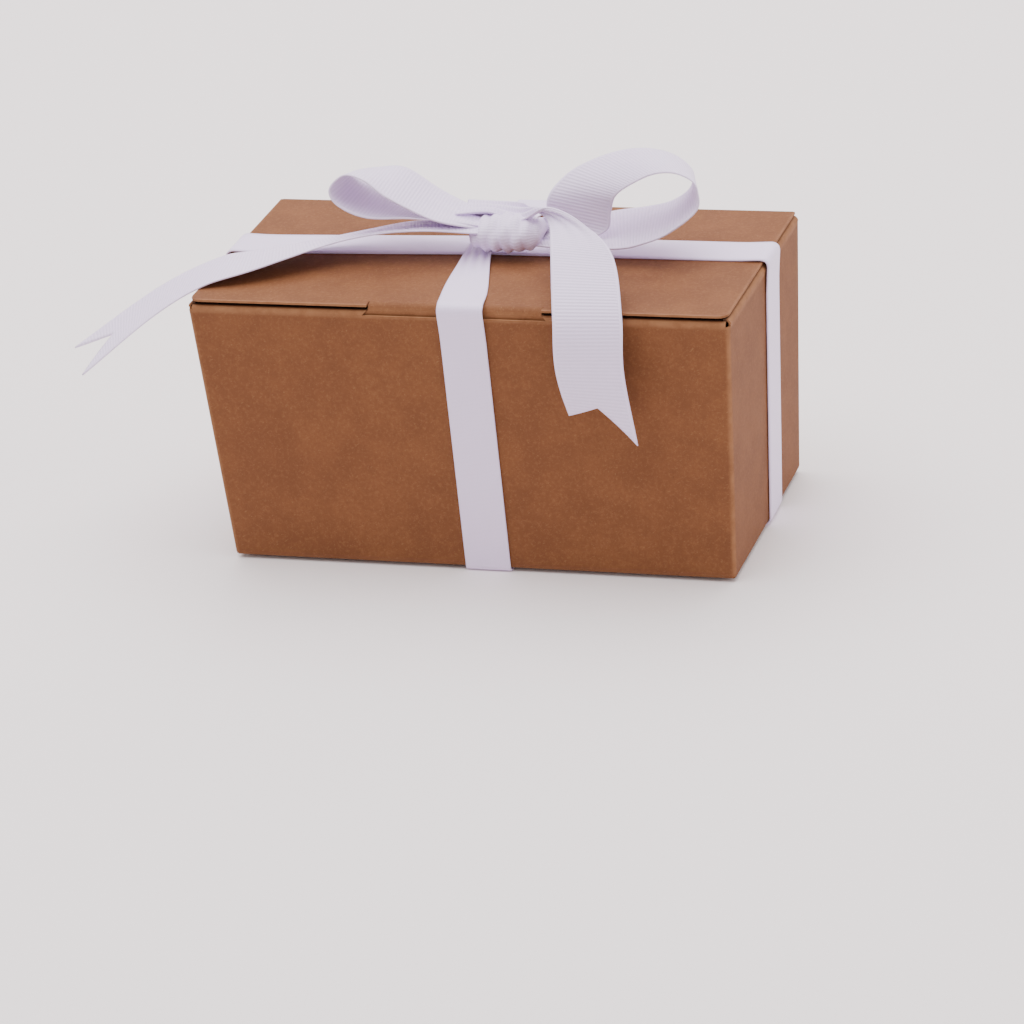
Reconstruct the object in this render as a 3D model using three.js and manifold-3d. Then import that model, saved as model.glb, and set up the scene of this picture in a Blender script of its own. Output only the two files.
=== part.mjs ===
// Chocolate ballotin: a tapered kraft carton folded from one blank, wrapped crosswise in a narrow ribbon,
// with a wider ribbon tied in a bow on top. Millimetres, +Z up, +X along the carton, its closure faces -Y.
// The origin is below the middle of the carton, level with the underside of the ribbon that it stands on.

import * as THREE from 'three';
import { mergeVertices } from 'three/addons/utils/BufferGeometryUtils.js';
import Module from 'manifold-3d';

const wasm = await Module();
wasm.setup();

// Carton
const topLength = 125;
const topDepth = 62.5;
const baseLength = 118;
const baseDepth = 59.5;
const cartonHeight = 63.5;
const board = 0.5;
const cornerRadius = 1.1; // outside of an upright crease
const foldRadius = 1.2; // outside of a folded top edge
const baseCrease = 1; // outside of a bottom edge

// Closure: a lid hinged at the back, whose tongue tucks behind the front wall
const lidGap = 0.8; // slot between the lid's free edge and the front fold
const lidSideInset = 0.6; // lid's side edge, in from the end wall
const lidFrontInset = 0.35; // lid's free front edge, in from the front wall
const lidCornerRadius = 2.5;
const tongueWidth = 40; // middle third of the front edge
const tongueBend = 1.9; // outside radius
const tongueLength = 15;
const tongueTaper = 3; // each side, at its tip
const tongueLean = 3; // degrees, so that it stays behind the leaning front wall
const tuckClearance = 0.2; // between the tongue and the wall
const slotDrop = 2.4; // lid's top down to the cut edge of the front wall
const slotFlare = 1.1; // the slot's slanted ends run outwards by this
const cutWidth = 0.15;
const frontFlapLength = 24;
const frontFlapInset = 7; // from each end wall
const endFoldDrop = 0.35; // lid's underside down to an end wall's fold
const endFlapLength = 22;
const endFlapSlope = 14; // degrees
const endFlapInset = 3; // from the front and back walls
const baseFlapLap = 8; // the outer base flap reaches this far past the middle
const glueLapWidth = 13;
const glueLapInset = 4; // from the lid and the base
const glueSink = 0.02; // the lap sinks into the wall by this

// Ribbons
const ribbonThickness = 0.35;
const restGap = 0.05; // between a ribbon and the level board that it lies on
const wallGap = 0.2; // between a ribbon and a leaning wall
const wrapWidth = 11;
const wrapBend = 1; // radius at the carton's edges
const lengthwiseY = 5; // middle of the lengthwise band
const crosswiseX = 2; // middle of the crosswise band
const crossingX = -2.2; // where the bow pinches the crosswise band
const crosswiseColumns = 8; // facets across it, which its pleats need
const crosswiseStep = 4; // longest facet along it
const pinchedWidth = 5;
const pinchReach = 30; // from the crossing to where that band is flat
const pleatHeight = 0.7;
const bandPress = 0.02; // the two bands sink into each other by this
const rampLength = 9; // over which the upper band climbs onto the lower one
const bowWidth = 16;
const knotX = 0.5;
const knotY = 1;
const knotLength = 10;
const knotDepth = 10.5;
const knotHeight = 7.2;
const knotPleats = 4;
const knotPleatDepth = 0.06; // as a share of its radius
const knotGap = 0.4; // above the pinched band

const cartonBottom = 2 * ribbonThickness + restGap;
const lidTop = cartonBottom + cartonHeight;
const { degToRad, lerp, smoothstep } = THREE.MathUtils;

// Solids and outlines

function solidFrom(geometry) {
  geometry.deleteAttribute('normal');
  geometry.deleteAttribute('uv');
  const merged = mergeVertices(geometry, 1e-4);
  return new wasm.Manifold(new wasm.Mesh({
    numProp: 3,
    vertProperties: new Float32Array(merged.attributes.position.array),
    triVerts: new Uint32Array(merged.index.array),
  }));
}

function geometryFrom(solid) {
  const mesh = solid.getMesh();
  const geometry = new THREE.BufferGeometry();
  geometry.setAttribute('position', new THREE.BufferAttribute(mesh.vertProperties, 3));
  geometry.setIndex(new THREE.BufferAttribute(mesh.triVerts, 1));
  geometry.computeVertexNormals();
  return geometry;
}

function joined(solids) {
  return solids.reduce((whole, solid) => whole.add(solid));
}

// A closed outline through corners given as [x, y, radius].
function roundedOutline(corners, outline = new THREE.Shape()) {
  corners.forEach(([x, y, radius = 0], i) => {
    const [beforeX, beforeY] = corners[(i + corners.length - 1) % corners.length];
    const [afterX, afterY] = corners[(i + 1) % corners.length];
    const enter = new THREE.Vector2(beforeX - x, beforeY - y).setLength(radius);
    const leave = new THREE.Vector2(afterX - x, afterY - y).setLength(radius);
    if (i === 0) outline.moveTo(x + enter.x, y + enter.y);
    else outline.lineTo(x + enter.x, y + enter.y);
    if (radius > 0) outline.quadraticCurveTo(x, y, x + leave.x, y + leave.y);
  });
  outline.closePath();
  return outline;
}

function extruded(outline, depth) {
  return new THREE.ExtrudeGeometry(outline, { depth, bevelEnabled: false, curveSegments: 4 });
}

// An outline in (y, z), extruded along X.
function alongX(outline, x0, x1) {
  const geometry = extruded(outline, x1 - x0);
  geometry.rotateX(Math.PI / 2);
  geometry.rotateZ(Math.PI / 2);
  geometry.translate(x0, 0, 0);
  return solidFrom(geometry);
}

// An outline in (x, z), extruded along Y.
function alongY(outline, y0, y1) {
  const geometry = extruded(outline, y1 - y0);
  geometry.rotateX(Math.PI / 2);
  geometry.translate(0, y1, 0);
  return solidFrom(geometry);
}

// An outline in (x, y), extruded along Z.
function alongZ(outline, z0, z1) {
  const geometry = extruded(outline, z1 - z0);
  geometry.translate(0, 0, z0);
  return solidFrom(geometry);
}

function block(x0, x1, y0, y1, z0, z1) {
  const geometry = new THREE.BoxGeometry(Math.abs(x1 - x0), Math.abs(y1 - y0), Math.abs(z1 - z0));
  geometry.translate((x0 + x1) / 2, (y0 + y1) / 2, (z0 + z1) / 2);
  return solidFrom(geometry);
}

// Carton

const face = { x: topLength / 2, y: topDepth / 2 }; // outside of the walls at the lid
const frontFoldTop = lidTop - board - lidGap;
const endFoldTop = lidTop - board - endFoldDrop;

// The carton's outside shape between two heights above its bottom, drawn in by an inset at each.
function taperedBlock(lowInset, highInset, fromHeight, toHeight) {
  const halfAt = (height, inset) => ({
    x: lerp(baseLength, topLength, height / cartonHeight) / 2 - inset,
    y: lerp(baseDepth, topDepth, height / cartonHeight) / 2 - inset,
  });
  const low = halfAt(fromHeight, lowInset);
  const high = halfAt(toHeight, highInset);
  const radius = Math.max(cornerRadius - lowInset, board / 2);
  const geometry = extruded(roundedOutline([
    [-low.x, -low.y, radius], [low.x, -low.y, radius], [low.x, low.y, radius], [-low.x, low.y, radius],
  ]), toHeight - fromHeight);
  const position = geometry.attributes.position;
  for (let i = 0; i < position.count; i += 1) {
    const share = position.getZ(i) / (toHeight - fromHeight);
    position.setX(i, position.getX(i) * lerp(1, high.x / low.x, share));
    position.setY(i, position.getY(i) * lerp(1, high.y / low.y, share));
  }
  geometry.translate(0, 0, cartonBottom + fromHeight);
  return solidFrom(geometry);
}

// The outside of the tub, with its bottom edges rounded by the creases.
function tubOutside() {
  const arcSteps = 3;
  const ring = (i) => {
    const angle = (i / arcSteps) * (Math.PI / 2);
    return { inset: baseCrease * (1 - Math.sin(angle)), height: baseCrease * (1 - Math.cos(angle)) };
  };
  const slices = [taperedBlock(0, 0, baseCrease, cartonHeight)];
  for (let i = 0; i < arcSteps; i += 1) {
    const low = ring(i);
    const high = ring(i + 1);
    slices.push(taperedBlock(low.inset, high.inset, low.height, high.height));
  }
  return joined(slices);
}

// The tub: four leaning walls, cut down where an edge folds over, and a base of two lapped flaps.
function tub() {
  const { x, y } = face;
  const over = lidTop + 1;
  const hollow = taperedBlock(board, board, 2 * board, cartonHeight + 1);
  const walls = tubOutside().subtract(hollow);
  const trims = [
    block(-x - 1, x + 1, -y - 1, -y + foldRadius, frontFoldTop - foldRadius, over),
    block(-x - 1, x + 1, y - foldRadius, y + 1, lidTop - foldRadius, over),
    block(-x - 1, -x + foldRadius, -y - 1, y + 1, endFoldTop - foldRadius, over),
    block(x - foldRadius, x + 1, -y - 1, y + 1, endFoldTop - foldRadius, over),
    block(-x, x, baseFlapLap, y + 1, cartonBottom - 1, cartonBottom + board),
  ];
  return walls.subtract(joined(trims));
}

// Section of an edge that bends from a wall at `side` into a flap: a quarter ring, then a sloping strip.
// Its axes are (inwards from the wall, up), and `sign` turns inwards to + or -.
function foldSection(side, sign, top, length, slope = 0) {
  const drop = (length - foldRadius) * Math.tan(degToRad(slope));
  const arcSteps = 5;
  const ring = (radius, step) => {
    const angle = (step / arcSteps) * (Math.PI / 2);
    const inwards = foldRadius - radius * Math.cos(angle);
    return [side + sign * inwards, top - foldRadius + radius * Math.sin(angle)];
  };
  const corners = [];
  for (let i = 0; i <= arcSteps; i += 1) corners.push(ring(foldRadius, i));
  corners.push([side + sign * length, top - drop], [side + sign * length, top - drop - board]);
  for (let i = arcSteps; i >= 0; i -= 1) corners.push(ring(foldRadius - board, i));
  return roundedOutline(corners);
}

// The front wall's own flap, folded in below the lid. The slot for the tongue parts it in the middle.
function frontFlap() {
  const stub = foldRadius + board;
  const edgeHalf = face.x - cornerRadius;
  const edge = alongX(foldSection(-face.y, 1, frontFoldTop, stub), -edgeHalf, edgeHalf);
  const reach = face.x - frontFlapInset;
  const panel = block(
    -reach, reach, -face.y + foldRadius, -face.y + frontFlapLength, frontFoldTop - board, frontFoldTop);
  const relief = block(
    -tongueWidth / 2 - slotFlare, tongueWidth / 2 + slotFlare, -face.y - 1, -face.y + tongueBend + 3 * board,
    frontFoldTop - board - 1, frontFoldTop + 1);
  return edge.add(panel.subtract(relief));
}

// Outline of the tongue's slot in (x, z), with slanted ends, drawn in by an inset.
function slotOutline(inset, tip) {
  const narrow = tongueWidth / 2 + cutWidth - inset;
  const wide = narrow + slotFlare;
  const low = lidTop - slotDrop;
  return roundedOutline([
    [-wide, low], ...tip, [wide, low], [narrow, low + slotFlare], [narrow, lidTop + 1],
    [-narrow, lidTop + 1], [-narrow, low + slotFlare],
  ]);
}

function endFlap(sign) {
  const bend = foldSection(sign * face.x, -sign, endFoldTop, foldRadius + board);
  const flap = foldSection(sign * face.x, -sign, endFoldTop, endFlapLength, endFlapSlope);
  return alongY(bend, -face.y + cornerRadius, face.y - cornerRadius)
    .add(alongY(flap, -face.y + endFlapInset, face.y - endFlapInset));
}

// The lid and its fold at the back wall, with a step in the front edge where the tongue begins.
function lid() {
  const x = face.x - lidSideInset;
  const free = -face.y + lidFrontInset;
  const back = face.y - foldRadius;
  const root = -face.y + board + tuckClearance + tongueBend;
  const half = tongueWidth / 2 + cutWidth;
  const panel = alongZ(roundedOutline([
    [x, back], [-x, back], [-x, free, lidCornerRadius], [-half, free], [-half, root],
    [half, root], [half, free], [x, free, lidCornerRadius],
  ]), lidTop - board, lidTop);
  const hingeHalf = face.x - cornerRadius;
  return panel.add(alongX(foldSection(face.y, -1, lidTop, foldRadius + board), -hingeHalf, hingeHalf));
}

// The tongue bends down from the lid and runs down inside the front wall.
function tongue() {
  const root = -face.y + board + tuckClearance;
  const centre = { y: root + tongueBend, z: lidTop - tongueBend };
  const lean = (tongueLength - tongueBend) * Math.tan(degToRad(tongueLean));
  const arcSteps = 6;
  const ring = (radius, step) => {
    const angle = (step / arcSteps) * (Math.PI / 2);
    return [centre.y - radius * Math.sin(angle), centre.z + radius * Math.cos(angle)];
  };
  const corners = [];
  for (let i = 0; i <= arcSteps; i += 1) corners.push(ring(tongueBend, i));
  corners.push([root + lean, lidTop - tongueLength], [root + lean + board, lidTop - tongueLength]);
  for (let i = arcSteps; i >= 0; i -= 1) corners.push(ring(tongueBend - board, i));
  const reach = tongueWidth / 2 + slotFlare + 1;
  const tipHalf = tongueWidth / 2 + slotFlare - tongueTaper;
  const tipLow = lidTop - tongueLength - 1;
  const shape = slotOutline(cutWidth, [[-tipHalf, tipLow], [tipHalf, tipLow]]);
  return alongX(roundedOutline(corners), -reach, reach).intersect(alongY(shape, -face.y - 1, 0));
}

// The glued lap that closes the blank into a tube, inside the back wall.
function glueLap() {
  const outer = board - glueSink;
  const inner = 2 * board;
  const shell = taperedBlock(outer, outer, glueLapInset, cartonHeight - glueLapInset)
    .subtract(taperedBlock(inner, inner, glueLapInset - 1, cartonHeight));
  return shell.intersect(block(face.x - glueLapWidth, face.x, face.y - 3, face.y + 1, 0, lidTop));
}

function carton() {
  const slot = alongY(slotOutline(0, []), -face.y - 1, -face.y + foldRadius + board);
  const walls = joined([tub(), frontFlap()]).subtract(slot);
  return joined([walls, endFlap(-1), endFlap(1), lid(), tongue(), glueLap()]);
}

// Ribbons

// A ribbon swept through stations. `frame(t, v)` gives a point of its middle surface at t along it and v
// across it, from -1 to 1, and `normal(t)` the way that it faces. An open ribbon has two cut ends.
function ribbonSolid(frame, normal, lengthSteps, acrossSteps, closed = false) {
  const rows = closed ? lengthSteps : lengthSteps + 1;
  const columns = acrossSteps + 1;
  const positions = [];
  for (const side of [1, -1]) {
    for (let i = 0; i < rows; i += 1) {
      for (let j = 0; j < columns; j += 1) {
        const v = (2 * j) / acrossSteps - 1;
        const t = i / lengthSteps;
        const point = frame(t, v).addScaledVector(normal(t, v), (side * ribbonThickness) / 2);
        positions.push(point.x, point.y, point.z);
      }
    }
  }
  const at = (side, i, j) => side * rows * columns + (i % rows) * columns + j;
  const index = [];
  const quad = (a, b, c, d) => index.push(a, b, c, a, c, d);
  for (let i = 0; i < lengthSteps; i += 1) {
    for (let j = 0; j < acrossSteps; j += 1) {
      quad(at(0, i, j), at(0, i + 1, j), at(0, i + 1, j + 1), at(0, i, j + 1));
      quad(at(1, i, j), at(1, i, j + 1), at(1, i + 1, j + 1), at(1, i + 1, j));
    }
    quad(at(0, i, 0), at(1, i, 0), at(1, i + 1, 0), at(0, i + 1, 0));
    quad(at(0, i, acrossSteps), at(0, i + 1, acrossSteps), at(1, i + 1, acrossSteps), at(1, i, acrossSteps));
  }
  if (!closed) {
    for (let j = 0; j < acrossSteps; j += 1) {
      quad(at(0, 0, j), at(0, 0, j + 1), at(1, 0, j + 1), at(1, 0, j));
      quad(at(0, rows - 1, j), at(1, rows - 1, j), at(1, rows - 1, j + 1), at(0, rows - 1, j + 1));
    }
  }
  const geometry = new THREE.BufferGeometry();
  geometry.setAttribute('position', new THREE.Float32BufferAttribute(positions, 3));
  geometry.setIndex(index);
  const solid = solidFrom(geometry);
  if (solid.volume() > 0) return solid;
  const turned = [];
  for (let i = 0; i < index.length; i += 3) turned.push(index[i], index[i + 2], index[i + 1]);
  geometry.setIndex(turned);
  return solidFrom(geometry);
}

// The lengthwise band: a leaning ring round the carton.
function lengthwiseBand() {
  const ring = (offset) => [
    [-baseLength / 2 - wallGap - offset, cartonBottom - restGap - offset, wrapBend],
    [baseLength / 2 + wallGap + offset, cartonBottom - restGap - offset, wrapBend],
    [topLength / 2 + wallGap + offset, lidTop + restGap + offset, wrapBend],
    [-topLength / 2 - wallGap - offset, lidTop + restGap + offset, wrapBend],
  ];
  const outline = roundedOutline(ring(ribbonThickness));
  outline.holes.push(roundedOutline(ring(0), new THREE.Path()));
  return alongY(outline, lengthwiseY - wrapWidth / 2, lengthwiseY + wrapWidth / 2);
}

// The crosswise band: outermost below the base, and pinched where the bow holds it on top.
function crosswiseBand() {
  const half = ribbonThickness / 2;
  const sideAt = { low: baseDepth / 2 + wallGap + half, high: topDepth / 2 + wallGap + half };
  const onLid = lidTop + restGap + half;
  const outline = roundedOutline([
    [-sideAt.low, half, wrapBend], [sideAt.low, half, wrapBend],
    [sideAt.high, onLid, wrapBend], [-sideAt.high, onLid, wrapBend],
  ]).getPoints(4).slice(0, -1);
  const path = [];
  outline.forEach((point, i) => {
    const next = outline[(i + 1) % outline.length];
    const parts = Math.ceil(point.distanceTo(next) / crosswiseStep);
    for (let part = 0; part < parts; part += 1) path.push(point.clone().lerp(next, part / parts));
  });
  const step = (t) => Math.round(t * path.length) % path.length;
  const flatness = (y) => smoothstep(Math.abs(y - lengthwiseY), 0, pinchReach);
  const onTop = (point) => point.y > onLid - wrapBend;
  const frame = (t, v) => {
    const point = path[step(t)];
    const flat = onTop(point) ? flatness(point.x) : 1;
    const ramp = 1 - smoothstep(Math.abs(point.x - lengthwiseY), wrapWidth / 2, wrapWidth / 2 + rampLength);
    const climb = onTop(point) ? ramp * (ribbonThickness - bandPress) : 0;
    const pleat = pleatHeight * (1 - flat) * (0.5 - 0.5 * Math.cos(2 * Math.PI * v));
    const x = lerp(crossingX, crosswiseX, flat) + (v * lerp(pinchedWidth, wrapWidth, flat)) / 2;
    return new THREE.Vector3(x, point.x, point.y + climb + pleat * ramp);
  };
  const normal = (t) => {
    const i = step(t);
    const before = path[(i + path.length - 1) % path.length];
    const after = path[(i + 1) % path.length];
    const along = after.clone().sub(before).normalize();
    return new THREE.Vector3(0, along.y, -along.x);
  };
  return ribbonSolid(frame, normal, path.length, crosswiseColumns, true);
}

// The bow's four strips, each from the knot outwards. A station is the strip's middle, with its height above
// the lid, then the way across it from its far edge to its near one, and its width, which is narrower where
// the knot gathers it. A tail hangs over the carton's front or left edge, so its stations keep to that edge.
const front = -face.y;
const leftEnd = -face.x;
const strips = {
  leftLoop: [
    [[0, 1, 7.25], [0, -1, 0], 7], [[-7, 1, 10.4], [0, -1, 0.05], 11],
    [[-14, 1, 13.5], [0.05, -1, 0.08], 14.5], [[-22, 1, 16.4], [0.02, -1, -0.05], bowWidth],
    [[-28.5, 1.2, 18.2], [0.14, -1, 0.15], bowWidth], [[-32.9, 1.2, 18.5], [0.15, -0.94, 0.3], bowWidth],
    [[-35.2, 0.8, 16.3], [0.03, -0.99, 0.15], bowWidth], [[-33.4, 0.9, 13.6], [0, -1, 0.02], bowWidth],
    [[-27, 1.1, 10.9], [0, -1, 0], bowWidth], [[-17, 1, 9.2], [0.05, -1, 0], 15],
    [[-8, 1, 8.4], [0, -1, 0], 11], [[0, 1, 7.25], [0, -1, 0], 7],
  ],
  rightLoop: [
    [[3, 0, 6], [0.6, -0.75, -0.2], 7], [[11.5, 0.5, 5.4], [0.85, -0.45, -0.3], 11],
    [[19.4, 0.2, 7.8], [0.97, -0.25, -0.13], 15.5], [[20.9, 0, 12.5], [0.97, -0.22, -0.09], bowWidth],
    [[22.8, 0, 16], [0.93, -0.36, -0.04], bowWidth], [[26.6, 0.7, 19], [0.85, -0.52, -0.07], bowWidth],
    [[33.5, 1.7, 21.9], [0.72, -0.69, -0.05], bowWidth], [[39.7, 2, 22.6], [0.6, -0.8, -0.04], bowWidth],
    [[44.9, 2, 21], [0.48, -0.87, -0.03], bowWidth], [[47.4, 2, 17.8], [0.33, -0.94, 0.05], bowWidth],
    [[46.6, 2, 13.6], [0.33, -0.94, 0.03], bowWidth], [[41, 2, 9.3], [0.18, -0.97, -0.1], bowWidth],
    [[35, 2, 7.2], [0.18, -0.97, -0.17], bowWidth], [[28, 2, 5.9], [0.3, -0.93, -0.2], 15.5],
    [[16, 1, 4.9], [0.4, -0.9, -0.15], 12], [[4, 1, 5], [0.5, -0.8, -0.3], 7],
  ],
  leftTail: [
    [[0, -1, 6.75], [0.3, -0.9, 0.1], 7], [[-16.8, -1, 6.95], [0.3, -0.9, 0.2], 14],
    [[-34.3, -5, 5.15], [0.4, -0.88, 0.27], bowWidth],
    [[leftEnd + 10.5, -13, 2.45], [0.27, -0.95, 0.1], bowWidth],
    [[leftEnd + 0.5, -17, 0.75], [0.1, -1, -0.03], bowWidth],
    [[leftEnd - 11.5, -22.5, -4.75], [0.25, -0.97, -0.05], bowWidth],
    [[leftEnd - 28.5, -31, -16.25], [0.5, -0.86, 0], bowWidth],
  ],
  rightTail: [
    [[-8, 1.5, 10.4], [0, -1, 0.1], 11], [[-1, 1.7, 10.6], [0.1, -1, 0.1], 10],
    [[6, 0.6, 9.8], [0.1, -0.9, -0.3], 10], [[12.5, -1.8, 11.9], [0.6, -0.65, 0.3], 9],
    [[20.7, -9, 11.45], [0.85, -0.52, 0.15], 13],
    [[27, front + 11.25, 9.05], [0.97, -0.25, 0.05], bowWidth],
    [[31.5, front - 2.75, 0.15], [1, -0.05, 0.05], bowWidth],
    [[32, front - 5.75, -12.25], [1, -0.1, 0.06], bowWidth],
    [[34.5, front - 4.75, -29.75], [0.95, -0.3, -0.08], bowWidth],
  ],
};

// Where each tail is cut: its length in stations at the far edge, the notch and the near edge.
const tailCuts = { leftTail: [0.995, 0.925, 1], rightTail: [0.955, 0.925, 0.975] };

function strip(name) {
  const stations = strips[name];
  const curve = (pick) => new THREE.CatmullRomCurve3(stations.map(pick), false, 'catmullrom', 0.5);
  const middle = curve(([[x, y, height]]) => new THREE.Vector3(x, y, lidTop + height));
  const across = curve(([, way]) => new THREE.Vector3(...way).normalize());
  const width = curve(([, , wide]) => new THREE.Vector3(wide, 0, 0));
  const cut = tailCuts[name] ?? [1, 1, 1];
  const share = (t, v) => t * (v < 0 ? lerp(cut[1], cut[0], -v) : lerp(cut[1], cut[2], v));
  const frame = (t, v) => {
    const s = share(t, v);
    return middle.getPoint(s).addScaledVector(across.getPoint(s).normalize(), (v * width.getPoint(s).x) / 2);
  };
  const normal = (t, v) => {
    const s = share(t, v);
    return middle.getTangent(s).cross(across.getPoint(s)).normalize();
  };
  return ribbonSolid(frame, normal, 5 * (stations.length - 1), 6);
}

// The knot: the ribbon gathered round itself, with pleats that run over it.
function knot() {
  const profile = [];
  const steps = 16;
  for (let i = 0; i <= steps; i += 1) {
    const along = (2 * i) / steps - 1;
    const pleat = 1 + knotPleatDepth * (Math.cos(Math.PI * knotPleats * along) - 1);
    const radius = i === 0 || i === steps ? 0 : pleat * (1 - Math.abs(along) ** 3) ** 0.4;
    profile.push(new THREE.Vector2(radius / 2, (along * knotLength) / 2));
  }
  const geometry = new THREE.LatheGeometry(profile, 20);
  geometry.rotateZ(-Math.PI / 2);
  geometry.scale(1, knotDepth, knotHeight);
  const bandTop = lidTop + restGap + 2 * ribbonThickness + pleatHeight;
  geometry.translate(knotX, knotY, bandTop + knotGap + knotHeight / 2);
  return solidFrom(geometry);
}

const cartonSolid = carton();
const wrapSolid = joined([lengthwiseBand(), crosswiseBand()]);
const bowSolid = joined([knot(), ...Object.keys(strips).map(strip)]);

function part(name, solid, color, roughness) {
  const material = new THREE.MeshStandardMaterial({ color, roughness, metalness: 0, side: THREE.DoubleSide });
  const mesh = new THREE.Mesh(geometryFrom(solid), material);
  mesh.name = name;
  return mesh;
}

const ballotin = new THREE.Group();
ballotin.add(
  part('carton', cartonSolid, '#a8734a', 0.85),
  part('wrap_ribbon', wrapSolid, '#e6e2ea', 0.6),
  part('bow_ribbon', bowSolid, '#e8e5ee', 0.7),
);

export default ballotin;
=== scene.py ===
# Chocolate ballotin box: a kraft board carton, a smooth ribbon round it both ways and a grosgrain bow on top.
# Blender 4.5. Shapes are worked out in millimetres and put into metres as they are made, +Z up, +X along
# the carton. Its tucked closure faces -Y.

import math

import bmesh
import bpy
from mathutils import Matrix, Vector


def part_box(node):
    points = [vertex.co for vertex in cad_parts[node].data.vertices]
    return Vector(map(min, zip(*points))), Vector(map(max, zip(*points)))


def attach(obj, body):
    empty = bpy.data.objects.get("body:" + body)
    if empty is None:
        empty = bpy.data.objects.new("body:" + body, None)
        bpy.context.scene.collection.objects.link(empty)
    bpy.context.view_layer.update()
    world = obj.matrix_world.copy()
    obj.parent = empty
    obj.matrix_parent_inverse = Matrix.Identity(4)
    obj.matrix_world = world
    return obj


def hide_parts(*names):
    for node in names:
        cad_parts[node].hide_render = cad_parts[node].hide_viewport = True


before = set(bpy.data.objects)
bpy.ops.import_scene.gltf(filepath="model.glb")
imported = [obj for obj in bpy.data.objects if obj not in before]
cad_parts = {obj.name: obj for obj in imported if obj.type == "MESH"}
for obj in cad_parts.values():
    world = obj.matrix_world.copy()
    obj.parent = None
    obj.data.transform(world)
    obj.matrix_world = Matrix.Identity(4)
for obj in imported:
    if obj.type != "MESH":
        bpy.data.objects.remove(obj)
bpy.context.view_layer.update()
mm = 0.001

# the carton's box, which the ribbons are set out from
cartonLow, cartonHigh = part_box("carton")
lidTop = cartonHigh.z / mm
cartonBottom = cartonLow.z / mm
cartonHeight = lidTop - cartonBottom
faceX = cartonHigh.x / mm
faceY = cartonHigh.y / mm
carton = {"baseX": 59, "baseY": 29.75, "tongueHalf": 20}  # half sizes of the base and of the tongue, mm
print("frame loaded")


def lerp(a, b, t):
    return a + (b - a) * t


def smooth(a, b, x):
    t = min(max((x - a) / (b - a), 0), 1)
    return t * t * (3 - 2 * t)


def colour(hexCode):
    parts = [int(hexCode[i : i + 2], 16) / 255 for i in (1, 3, 5)]
    return [c / 12.92 if c <= 0.04045 else ((c + 0.055) / 1.055) ** 2.4 for c in parts] + [1]


# materials


def addNode(tree, kind, inputs=None, **settings):
    node = tree.nodes.new("ShaderNode" + kind)
    for name, value in settings.items():
        setattr(node, name, value)
    for name, value in (inputs or {}).items():
        if isinstance(value, bpy.types.NodeSocket):
            tree.links.new(value, node.inputs[name])
        else:
            node.inputs[name].default_value = value
    return node


def newMaterial(name, **shaderValues):
    material = bpy.data.materials.new(name)
    material.use_nodes = True
    tree = material.node_tree
    shader = tree.nodes["Principled BSDF"]
    for socket, value in shaderValues.items():
        shader.inputs[socket.replace("_", " ")].default_value = value
    return material, tree, shader


kraft = {
    "board": "#794A29",
    "warm": "#6D4022",
    "pale": "#855634",
    "crease": "#956643",
    # the crease colour is partly scuffing and partly a painted highlight on the folds
    "fleckDark": "#523219",
    "fleckLight": "#9A6E4A",
    "mottle": 9,  # mm, clouds in the pulp
    "grain": 0.8,  # mm, clumps of pulp
    "fibre": 0.28,  # mm, across a fibre bundle, drawn coarser than the real 0.05 so that it shows
    "fibreLength": 7,  # times its width
    "creaseWidth": 1.3,  # mm, band beside a crease, scuffed and partly a painted highlight
    "foldBand": 3.0,  # mm, from the lid's top down to the end of the folded edges
    "slotShade": "#2A160C",  # inside the slots, which look black
    "slotTop": (0.5, 0.62),  # mm below the lid's top, where that shade comes in
    "slotFoot": (1.3, 1.6),  # and where it goes out
    "slotDepth": (0.45, 1.4),  # mm in from the nearest wall
    "slotStart": (0.1, 0.4),  # mm beside the tongue
    "bump": 0.4,
}


def shaderTools(tree):
    # short names for the nodes that every material here is made of
    def maths(operation, a, b=0.0, c=0.0):
        return addNode(tree, "Math", {0: a, 1: b, 2: c}, operation=operation).outputs[0]

    def ramp(value, low, high, toLow=0.0, toHigh=1.0):
        limits = {"Value": value, "From Min": low, "From Max": high, "To Min": toLow, "To Max": toHigh}
        return addNode(tree, "MapRange", limits, interpolation_type="SMOOTHSTEP").outputs[0]

    def mix(factor, a, b):
        return addNode(tree, "Mix", {0: factor, 6: a, 7: b}, data_type="RGBA").outputs[2]

    return maths, ramp, mix


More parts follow.
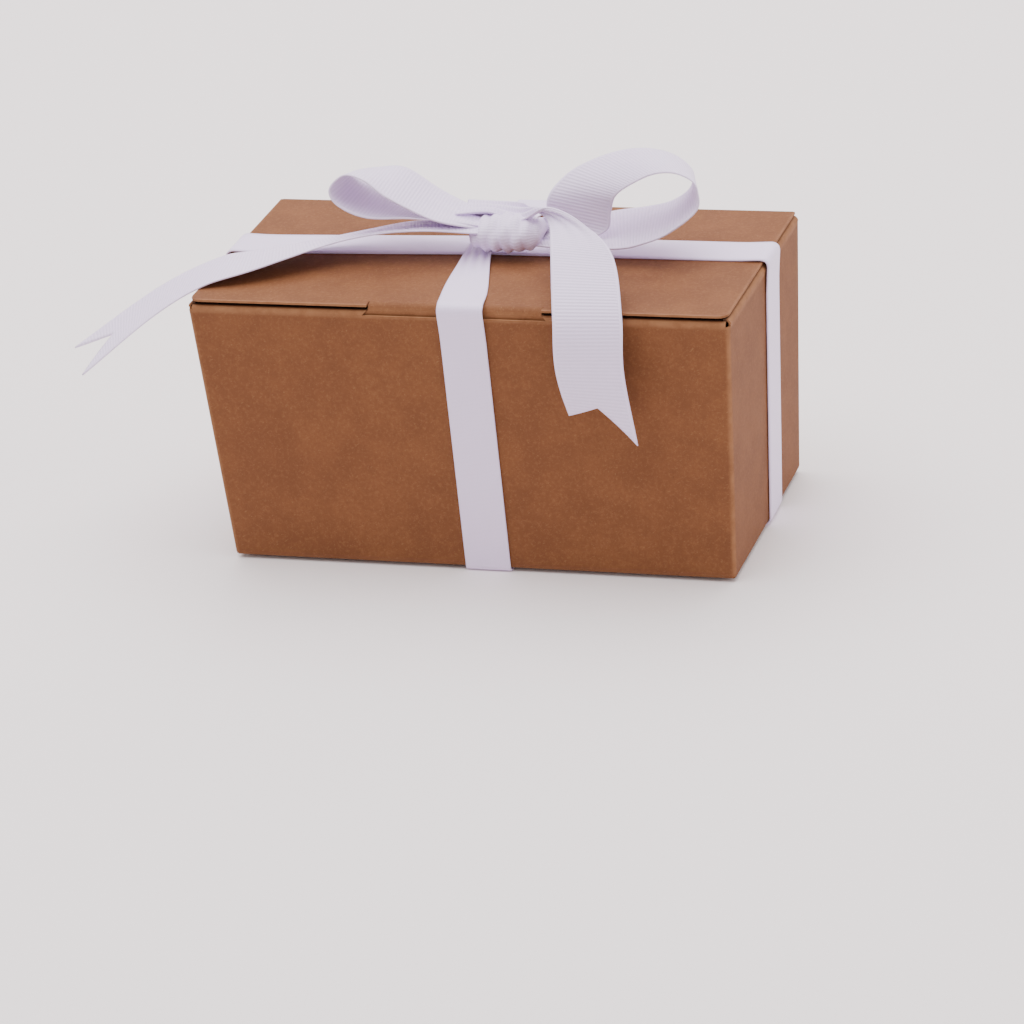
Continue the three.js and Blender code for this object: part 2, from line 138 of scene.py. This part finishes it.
def kraftBoard():
    # Uncoated kraft board, about 350 g/m2, calendered: matt and even, with faint clouds of tone, short fibres
    # lying every way, and paler creases, scuffed where folded and rubbed and partly a painted highlight where they
    # catch the light.
    material, tree, shader = newMaterial("kraftBoard", Roughness=0.8, IOR=1.5)
    shader.inputs["Specular IOR Level"].default_value = 0.35
    maths, ramp, mix = shaderTools(tree)
    place = addNode(tree, "TexCoord").outputs["Object"]

    def noise(size, detail, turn=(0, 0, 0), stretch=(1, 1, 1), roughness=0.55):
        # a Vector Rotate turns the pattern before a Mapping sets its size
        turned = addNode(tree, "VectorRotate", {"Vector": place, "Rotation": turn}, rotation_type="EULER_XYZ")
        scaled = addNode(tree, "Mapping", {"Vector": turned.outputs[0], "Scale": [k / (size * mm) for k in stretch]})
        pattern = {"Vector": scaled.outputs[0], "Scale": 1.0, "Detail": detail, "Roughness": roughness}
        return addNode(tree, "TexNoise", pattern).outputs["Fac"]

    clouds = ramp(noise(kraft["mottle"], 4, roughness=0.62), 0.3, 0.7, 0.05, 0.95)
    grain = noise(kraft["grain"], 3, roughness=0.75)
    base = mix(clouds, colour(kraft["warm"]), colour(kraft["board"]))
    base = mix(ramp(grain, 0.48, 0.72, 0, 0.6), base, colour(kraft["pale"]))
    base = mix(ramp(grain, 0.5, 0.3, 0, 0.55), base, colour(kraft["warm"]))
    # each turn lays one set of fibres: long along its own X
    lie = (1 / kraft["fibreLength"], 1, 1)
    turns = ((0.2, 0.5, 0.3), (0.9, 1.2, 2.4), (1.9, 2.6, 0.8), (2.4, 0.9, 1.7), (0.4, 2.0, 2.9), (1.3, 0.1, 1.2))
    for k, turn in enumerate(turns):
        strand = noise(kraft["fibre"], 1, turn, lie)
        tone = kraft["fleckDark"] if k % 2 else kraft["fleckLight"]
        base = mix(ramp(strand, 0.66, 0.8, 0, 0.34), base, colour(tone))

    # how near a point is to each face of the leaning box: two near at once is a crease
    axes = addNode(tree, "SeparateXYZ", {0: place}).outputs
    height = maths("SUBTRACT", axes[2], cartonBottom * mm)
    lean = maths("DIVIDE", height, cartonHeight * mm)
    wide = kraft["creaseWidth"] * mm
    near = []
    gaps = []
    for axis, low, high in ((0, carton["baseX"], faceX), (1, carton["baseY"], faceY)):
        wall = maths("MULTIPLY_ADD", lean, (high - low) * mm, low * mm)
        gap = maths("SUBTRACT", wall, maths("ABSOLUTE", axes[axis]))
        near.append(ramp(gap, 0.25 * wide, wide, 1, 0))
        gaps.append(gap)
    belowLid = maths("SUBTRACT", lidTop * mm, axes[2])
    atLid = ramp(belowLid, 0.8 * kraft["foldBand"] * mm, 1.15 * kraft["foldBand"] * mm, 1, 0)
    atBase = ramp(height, 0.2 * wide, wide, 0.35, 0)
    upright = maths("MULTIPLY", near[0], near[1])
    folds = maths("MULTIPLY", maths("MAXIMUM", near[0], near[1]), maths("MAXIMUM", atLid, atBase))
    rub = ramp(noise(3.5, 3), 0.25, 0.7, 0.3, 0.8)
    # painted highlight as well as wear: creases drawn paler, fully at the upright corners and lid folds, about a
    # third as much at the base
    wornAndLit = maths("MULTIPLY", maths("MAXIMUM", upright, folds), rub)
    base = mix(wornAndLit, base, colour(kraft["crease"]))
    # what lies under the lid, in from the walls and clear of the tongue
    top, foot, depth = [[k * mm for k in kraft[name]] for name in ("slotTop", "slotFoot", "slotDepth")]
    start = [(carton["tongueHalf"] + k) * mm for k in kraft["slotStart"]]
    under = maths("MULTIPLY", ramp(belowLid, *top), ramp(belowLid, foot[1], foot[0]))
    inside = maths("MULTIPLY", under, ramp(maths("MINIMUM", gaps[0], gaps[1]), *depth))
    inside = maths("MULTIPLY", inside, ramp(maths("ABSOLUTE", axes[0]), *start))
    base = mix(inside, base, colour(kraft["slotShade"]))
    tree.links.new(base, shader.inputs["Base Color"])

    relief = maths("ADD", maths("MULTIPLY", grain, 0.5), maths("MULTIPLY", noise(7, 2), 0.9))
    bump = addNode(tree, "Bump", {"Height": relief, "Strength": kraft["bump"], "Distance": 0.08 * mm})
    tree.links.new(bump.outputs[0], shader.inputs["Normal"])
    return material


# what both ribbons share; the streaks run along the cloth
weave = {
    "sheen": 0.2,
    "sheenRoughness": 0.4,
    "streaks": (1.5, 0.1, 1),
    "streakTone": 0.35,
    "ribTone": 0.75,
    "bump": 0.6,
}
# each ribbon's face colour and the darker painted shade of its grooves
satin = {"face": "#EFDDFB", "paintedGrooveShade": "#E4D2F1", "rib": 0.32, "depth": 0.02, "roughness": 0.5}
grosgrain = {"face": "#EFDDFB", "paintedGrooveShade": "#E1CFEE", "rib": 0.8, "depth": 0.1, "selvedge": 0.7, "roughness": 0.6}


def ribbonMaterial(name, cloth, width):
    # Woven polyester ribbon, soft and a little glossy. Its UV map is in millimetres: U across from the middle,
    # V along. A grosgrain's ribs cross it between plain selvedges, and a satin's threads are too fine to see;
    # both get painted shade in the grooves between their ribs.
    material, tree, shader = newMaterial(name, Roughness=cloth["roughness"], IOR=1.5)
    shader.inputs["Sheen Weight"].default_value = weave["sheen"]
    shader.inputs["Sheen Roughness"].default_value = weave["sheenRoughness"]
    maths, ramp, mix = shaderTools(tree)
    uv = addNode(tree, "UVMap", uv_map="ribbon").outputs[0]
    across, along = addNode(tree, "SeparateXYZ", {0: uv}).outputs[:2]
    wave = maths("SINE", maths("MULTIPLY", along, 2 * math.pi / cloth["rib"]))
    rib = maths("MULTIPLY_ADD", wave, 0.5, 0.5)
    if "selvedge" in cloth:
        fromEdge = maths("SUBTRACT", width / 2, maths("ABSOLUTE", across))
        plain = ramp(fromEdge, cloth["selvedge"] * 0.7, cloth["selvedge"] * 1.2, 1, 0)
        rib = maths("MAXIMUM", rib, plain)
    lengthened = addNode(tree, "Mapping", {"Vector": uv, "Scale": weave["streaks"]})
    streak = addNode(tree, "TexNoise", {"Vector": lengthened.outputs[0], "Scale": 1.0, "Detail": 2.0}).outputs["Fac"]
    # painted shade: the grooves between the ribs take the darker colour; the streaks are random tone
    tone = maths("ADD", maths("MULTIPLY", rib, weave["ribTone"]), maths("MULTIPLY", streak, weave["streakTone"]))
    tree.links.new(mix(tone, colour(cloth["paintedGrooveShade"]), colour(cloth["face"])), shader.inputs["Base Color"])
    bump = addNode(tree, "Bump", {"Height": rib, "Strength": weave["bump"], "Distance": cloth["depth"] * mm})
    tree.links.new(bump.outputs[0], shader.inputs["Normal"])
    return material


# carton: the board is the CAD's own solid, with its folds, slots and flaps

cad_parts["carton"].data.materials.clear()
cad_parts["carton"].data.materials.append(kraftBoard())
print("carton dressed")


# ribbons


def spline(points, t):
    # uniform Catmull-Rom through a list of vectors, open
    place = t * (len(points) - 1)
    i = min(int(place), len(points) - 2)
    u = place - i
    p1, p2 = points[i], points[i + 1]
    p0 = points[i - 1] if i > 0 else 2 * p1 - p2
    p3 = points[i + 2] if i + 2 < len(points) else 2 * p2 - p1
    return (
        2 * p1
        + (p2 - p0) * u
        + (2 * p0 - 5 * p1 + 4 * p2 - p3) * u**2
        + (3 * p1 - p0 - 3 * p2 + p3) * u**3
    ) / 2


def layRibbon(bm, place, rows, columns, width, start=0.0, closed=False, cut=(1, 1, 1)):
    # a grid laid along place(t, v), where t runs along from 0 to 1 and v across from -1 to 1. The cut is how
    # much of the length is left at the far edge, the middle and the near edge.
    strip = bmesh.ops.create_grid(bm, x_segments=rows, y_segments=columns, size=1)["verts"]
    uvLayer = bm.loops.layers.uv.get("ribbon") or bm.loops.layers.uv.new("ribbon")
    middles = [place(i / rows, 0.0) for i in range(rows + 1)]
    along = [start]
    for a, b in zip(middles, middles[1:]):
        along.append(along[-1] + (b - a).length)
    for vert in strip:
        t, v = (vert.co.x + 1) / 2, vert.co.y
        t *= lerp(cut[1], cut[0] if v < 0 else cut[2], abs(v))
        row = min(int(t * rows), rows - 1)
        for loop in vert.link_loops:
            loop[uvLayer].uv = (v * width / 2, lerp(along[row], along[row + 1], t * rows - row))
        vert.co = place(t, v) * mm
    if closed:
        bmesh.ops.remove_doubles(bm, verts=strip, dist=0.001 * mm)
    return along[-1]


def finishRibbon(bm, name, material, thickness):
    mesh = bpy.data.meshes.new(name)
    bm.to_mesh(mesh)
    bm.free()
    mesh.materials.append(material)
    for polygon in mesh.polygons:
        polygon.use_smooth = True
    ribbon = bpy.data.objects.new(name, mesh)
    bpy.context.scene.collection.objects.link(ribbon)
    solid = ribbon.modifiers.new("thickness", "SOLIDIFY")
    solid.thickness = thickness * mm
    solid.offset = 0
    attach(ribbon, "root")
    return ribbon


wrap = {
    "width": 10.5,
    "thickness": 0.35,
    "restGap": 0.05,
    "wallGap": 0.2,
    "bend": 1.4,  # how far the rounding at a corner reaches
    "bulge": 0.7,  # how far it stands off the lid's front and back edges
    "endBulge": 0.35,  # and off its ends
    "bulgeReach": 5,
    "lengthwiseY": 5,
    "skew": 3.4,  # how much nearer the front the lengthwise band is at its left end
    "crosswiseX": 1.8,
    "crossingX": -3.9,  # the bow pulls the band aside here
    "pinched": 5.6,  # its width at the crossing
    "widthReach": 30,  # from the crossing to where the band has its full width
    "pull": 1.3,  # how late in that run it leaves the crossing's side, 1 being evenly
    "lidBlend": (12, 1),  # mm below the lid's top, where the band takes up its lie on the lid
    "pleat": 0.9,  # height of its gathers at the crossing
    "climbReach": 9,  # how far beside the lengthwise band it comes back down to the lid
    "step": 0.6,  # between rows of faces
}


def bandPath(low, high, bottom, top, bulge):
    # a closed path of (outwards, up) round the leaning carton, with round corners that stand off at the top
    corners = [Vector((-low, bottom)), Vector((low, bottom)), Vector((high, top)), Vector((-high, top))]
    path = []
    for i, corner in enumerate(corners):
        before, after = corners[i - 1], corners[(i + 1) % 4]
        enter = corner + (before - corner).normalized() * wrap["bend"]
        leave = corner + (after - corner).normalized() * wrap["bend"]
        turn = [lerp(lerp(enter, corner, k / 6), lerp(corner, leave, k / 6), k / 6) for k in range(7)]
        onward = after + (corner - after).normalized() * wrap["bend"]
        count = max(2, int((onward - leave).length / wrap["step"]))
        path += turn + [lerp(leave, onward, k / count) for k in range(1, count)]
    moved = []
    for i, point in enumerate(path):
        along = (path[(i + 1) % len(path)] - path[i - 1]).normalized()
        away = Vector((along.y, -along.x))
        for corner in corners[2:]:
            standOff = bulge * math.exp(-(((point - corner).length / wrap["bulgeReach"]) ** 2))
            point = point + away * standOff
        moved.append(point)
    return moved


def wrapRibbon():
    bm = bmesh.new()
    half = wrap["thickness"] / 2
    baseX, baseY = carton["baseX"], carton["baseY"]
    sideGap = wrap["wallGap"] + half
    # lengthwise, next to the board
    onLid = lidTop + wrap["restGap"] + half
    belowBase = cartonBottom - wrap["restGap"] - half
    path = bandPath(baseX + sideGap, faceX + sideGap, belowBase, onLid, wrap["endBulge"])

    def lengthwise(t, v):
        # the skew begins at the knot on the lid, and runs the whole length of the base
        x, z = path[round(t * len(path)) % len(path)]
        leftward = lerp((faceX - x) / (2 * faceX), max(0, -x / faceX), smooth(cartonBottom, lidTop, z))
        return Vector((x, wrap["lengthwiseY"] - wrap["skew"] * leftward + v * wrap["width"] / 2, z))

    total = layRibbon(bm, lengthwise, len(path), 8, wrap["width"], closed=True)

    # crosswise, over it on the lid and under it below the base, pinched where the bow holds it
    cross = bandPath(baseY + sideGap, faceY + sideGap, half, onLid, wrap["bulge"])

    def crosswise(t, v):
        y, z = cross[round(t * len(cross)) % len(cross)]
        onTop = smooth(lidTop - wrap["lidBlend"][0], lidTop - wrap["lidBlend"][1], z)
        away = abs(y - wrap["lengthwiseY"])
        flat = lerp(1, smooth(0, wrap["widthReach"], away), onTop)
        lidReach = faceY + (wrap["lengthwiseY"] if y < wrap["lengthwiseY"] else -wrap["lengthwiseY"])
        across = lerp(1, min(away / lidReach, 1) ** wrap["pull"], onTop)
        over = 1 - smooth(wrap["width"] / 2, wrap["width"] / 2 + wrap["climbReach"], away)
        climb = over * wrap["thickness"] * onTop
        pleats = wrap["pleat"] * (1 - flat) ** 1.5 * (0.5 - 0.5 * math.cos(3 * math.pi * v))
        x = lerp(wrap["crossingX"], wrap["crosswiseX"], across) + v * lerp(wrap["pinched"], wrap["width"], flat) / 2
        return Vector((x, y, z + climb + pleats))

    total = layRibbon(bm, crosswise, len(cross), 24, wrap["width"], start=total, closed=True)
    material = ribbonMaterial("wovenSatinRibbon", satin, wrap["width"])
    ribbon = finishRibbon(bm, "wrapRibbon", material, wrap["thickness"])
    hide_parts("wrap_ribbon")


wrapRibbon()
print("wrapping ribbon tied")

bow = {
    "width": 16,
    "thickness": 0.35,
    "rootPleats": 3,  # gathers across a strip where it is narrow
    "rootPleat": 0.8,  # and their height
    "rowsPerStation": 18,
    "columns": 28,
    "knot": {"at": (3.9, -0.3, 5.6), "length": 17, "depth": 11, "height": 7.6, "sway": 0.6},
    "folds": {"count": 6.5, "height": 0.08, "slant": 2.5, "crumple": 0.035},  # the knot's, heights as shares
    "knotEnd": 0.25,  # how much of its thickness the knot has at its ends
}

# Each strip of the bow runs outwards from the knot. A station is its middle, with its height above the lid,
# the way across it from its far edge to its near one, and its width.
front = -faceY
leftEnd = -faceX
strips = {
    "leftLoop": [
        ((0, 1, 7.25), (0, -1, 0), 7),
        ((-9.3, 0.7, 10.0), (0.05, -1.0, -0.03), 13.4),
        ((-14.4, 1.0, 12.0), (0.01, -1.0, -0.05), 14.4),
        ((-22, 1, 16.4), (0.02, -1, -0.05), 16),
        ((-27.7, 1.2, 18.2), (0.12, -0.98, 0.18), 16),
        ((-32.5, 1.2, 18.4), (0.13, -0.95, 0.29), 16),
        ((-35.2, 0.8, 16.3), (0.03, -0.99, 0.15), 16),
        ((-33.4, 0.9, 13.6), (0, -1, 0.02), 16),
        ((-27, 1.1, 10.9), (0, -1, 0), 16),
        ((-17, 1, 9.2), (0.05, -0.97, 0.2), 15),
        ((-8, 1, 8.2), (0, -0.97, 0.2), 11.5),
        ((0, 1, 7.25), (0, -1, 0), 7),
    ],
    "rightLoop": [
        ((3, 0, 6), (0.6, -0.75, -0.2), 7),
        ((11.5, 0.5, 5.4), (0.85, -0.45, -0.3), 11),
        ((19.4, 0.2, 7.8), (0.97, -0.25, -0.13), 15.5),
        ((20.9, 0, 12.5), (0.97, -0.22, -0.09), 16),
        ((22.8, 0, 16), (0.93, -0.36, -0.04), 16),
        ((26.6, 0.7, 19), (0.85, -0.52, -0.07), 16),
        ((33.5, 1.7, 21.9), (0.72, -0.69, -0.05), 16),
        ((39.7, 2, 22.6), (0.6, -0.8, -0.04), 16),
        ((44.9, 2, 21), (0.48, -0.87, -0.03), 16),
        ((47.4, 2, 17.8), (0.33, -0.94, 0.05), 16),
        ((46.6, 2, 13.6), (0.33, -0.94, 0.03), 16),
        ((41, 2, 9.3), (0.18, -0.97, -0.1), 16),
        ((35, 2, 7.2), (0.18, -0.97, -0.17), 16),
        ((28, 2, 5.9), (0.3, -0.93, -0.2), 15.5),
        ((16, 1, 4.9), (0.4, -0.9, -0.15), 12),
        ((4, 1, 5), (0.5, -0.8, -0.3), 7),
    ],
    "leftTail": [
        ((0, -1, 6.75), (0.3, -0.9, 0.1), 7),
        ((-16.8, -1, 6.95), (0.3, -0.9, 0.2), 14),
        ((-34.3, -3.4, 4.6), (0.43, -0.84, 0.28), 13.6),
        ((leftEnd + 10.5, -13, 2.45), (0.27, -0.95, 0.1), 16),
        ((leftEnd + 0.5, -17, 0.75), (0.1, -1, -0.03), 16),
        ((leftEnd - 11.5, -22.5, -4.75), (0.25, -0.97, -0.05), 16),
        ((leftEnd - 28.5, -31, -16.25), (0.5, -0.86, 0), 16),
    ],
    "rightTail": [
        ((-8, 4, 9.4), (0, -1, 0.05), 10),
        ((-1, 4.4, 9.4), (0.1, -1, 0.05), 7.5),
        ((6, 2.6, 9.2), (0.2, -0.95, -0.2), 7.5),
        ((12.5, -1.8, 11.9), (0.6, -0.65, 0.3), 9),
        ((20.7, -9, 11.45), (0.85, -0.52, 0.15), 13),
        ((27, front + 11.25, 9.05), (0.97, -0.25, 0.05), 16),
        ((31.5, front - 2.75, 0.15), (1, -0.05, 0.05), 16),
        ((32, front - 5.75, -12.25), (1, -0.1, 0.06), 16),
        ((34.5, front - 4.75, -29.75), (0.95, -0.3, -0.08), 16),
    ],
}
# where each tail is cut, as a share of its length at the far edge, the notch and the near edge
tailCuts = {"leftTail": (0.995, 0.925, 1), "rightTail": (0.954, 0.932, 0.983)}


def stripPlace(name):
    stations = strips[name]
    middles = [Vector((x, y, lidTop + height)) for (x, y, height), way, width in stations]
    ways = [Vector(way).normalized() for at, way, width in stations]
    widths = [Vector((width, 0)) for at, way, width in stations]

    def place(t, v):
        middle = spline(middles, t)
        way = spline(ways, t).normalized()
        width = spline(widths, t).x
        ahead = spline(middles, min(t + 0.01, 1)) - spline(middles, max(t - 0.01, 0))
        facing = ahead.cross(way).normalized()
        gathered = max(0, 1 - width / bow["width"])
        pleats = bow["rootPleat"] * gathered * math.cos(bow["rootPleats"] * math.pi * v)
        return middle + way * (v * width / 2) + facing * pleats

    return place


def knotPlace(t, v):
    # the wrap of ribbon round the roots: an oval band whose folds run along it
    knot = bow["knot"]
    angle = 2 * math.pi * t
    swell = (1 - abs(v) ** 3) ** 0.35 if abs(v) < 1 else 0.0
    slant = bow["folds"]["slant"] * math.sin(angle + 0.5)
    fold = 1 + bow["folds"]["height"] * math.cos(bow["folds"]["count"] * math.pi * v + slant)
    fold += bow["folds"]["crumple"] * math.sin(3 * angle + 11 * v)
    radius = max(swell, bow["knotEnd"]) * fold
    x, y, height = knot["at"]
    return Vector(
        (
            x + v * knot["length"] / 2 + knot["sway"] * math.sin(angle),
            y + radius * math.cos(angle) * knot["depth"] / 2,
            lidTop + height + radius * math.sin(angle) * knot["height"] / 2,
        )
    )


def bowRibbon():
    bm = bmesh.new()
    total = 0
    for name, stations in strips.items():
        rows = bow["rowsPerStation"] * (len(stations) - 1)
        cut = tailCuts.get(name, (1, 1, 1))
        total = layRibbon(bm, stripPlace(name), rows, bow["columns"], bow["width"], start=total, cut=cut)
    total = layRibbon(bm, knotPlace, 96, 32, bow["width"], start=total, closed=True)
    material = ribbonMaterial("wovenGrosgrainRibbon", grosgrain, bow["width"])
    ribbon = finishRibbon(bm, "bowRibbon", material, bow["thickness"])
    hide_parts("bow_ribbon")


bowRibbon()
print("bow tied")

# studio

studio = {
    "floor": "#F8EFEF",
    "floorSize": 3,
    "curveStart": 0.5,
    "curveLength": 1.2,
    "wall": 1.6,
    "air": "#F4F0F2",
    "ambient": 0.74,
    "aim": (0, 0, 0.04),  # what every light faces, in metres like the rest of the studio
}


def makeFloor():
    # a pale sweep: level under the carton, rising behind it
    bm = bmesh.new()
    bmesh.ops.create_grid(bm, x_segments=1, y_segments=60, size=1)
    for vert in bm.verts:
        x, along = vert.co.x, (vert.co.y + 1) / 2
        reach = along * studio["floorSize"] - 1
        rise = smooth(studio["curveStart"], studio["curveStart"] + studio["curveLength"], reach) * studio["wall"]
        vert.co = Vector((x * studio["floorSize"], reach, rise))
    mesh = bpy.data.meshes.new("floor")
    bm.to_mesh(mesh)
    bm.free()
    for polygon in mesh.polygons:
        polygon.use_smooth = True
    material, tree, shader = newMaterial("paleFloor", Roughness=0.7)
    shader.inputs["Base Color"].default_value = colour(studio["floor"])
    mesh.materials.append(material)
    floor = bpy.data.objects.new("floor", mesh)
    bpy.context.scene.collection.objects.link(floor)


makeFloor()

# where each soft box stands, how wide it is, its power in watts and its colour
lights = {
    "overhead": ((-0.15, 0.14, 1.1), 1.6, 33, "#FFFFFF"),
    "frontFill": ((0.3, -1.3, 0.5), 1.0, 0.9, "#FFF6F0"),
    "rightFill": ((1.1, -0.1, 0.45), 0.6, 3.5, "#FFFFFF"),
}
aim = Vector(studio["aim"])
for name, (place, size, power, tint) in lights.items():
    light = bpy.data.lights.new(name, "AREA")
    light.size = size
    light.energy = power
    light.color = colour(tint)[:3]
    lamp = bpy.data.objects.new(name, light)
    lamp.location = place
    lamp.rotation_euler = (aim - Vector(place)).to_track_quat("-Z", "Y").to_euler()
    bpy.context.scene.collection.objects.link(lamp)

world = bpy.data.worlds.new("studio")
world.use_nodes = True
world.node_tree.nodes["Background"].inputs[0].default_value = colour(studio["air"])
world.node_tree.nodes["Background"].inputs[1].default_value = studio["ambient"]
bpy.context.scene.world = world

view = {
    # the photograph's view of the carton: the camera stands to its right and above, leaning a little
    "place": (314.95, -896.18, 437.13),  # mm
    "ahead": (-0.303, 0.8567, -0.4175),
    "up": (-0.0442, 0.4249, 0.9041),
    "lens": 159.9,
    "sensor": 36,
}
camera = bpy.data.cameras.new("camera")
camera.lens = view["lens"]
camera.sensor_width = view["sensor"]
camera.clip_start = 0.05
eye = bpy.data.objects.new("camera", camera)
back = -Vector(view["ahead"]).normalized()
right = Vector(view["up"]).cross(back).normalized()
up = back.cross(right)
eye.matrix_world = Matrix.Translation(Vector(view["place"]) * mm) @ Matrix((right, up, back)).transposed().to_4x4()
bpy.context.scene.collection.objects.link(eye)
bpy.context.scene.camera = eye
print("studio set")
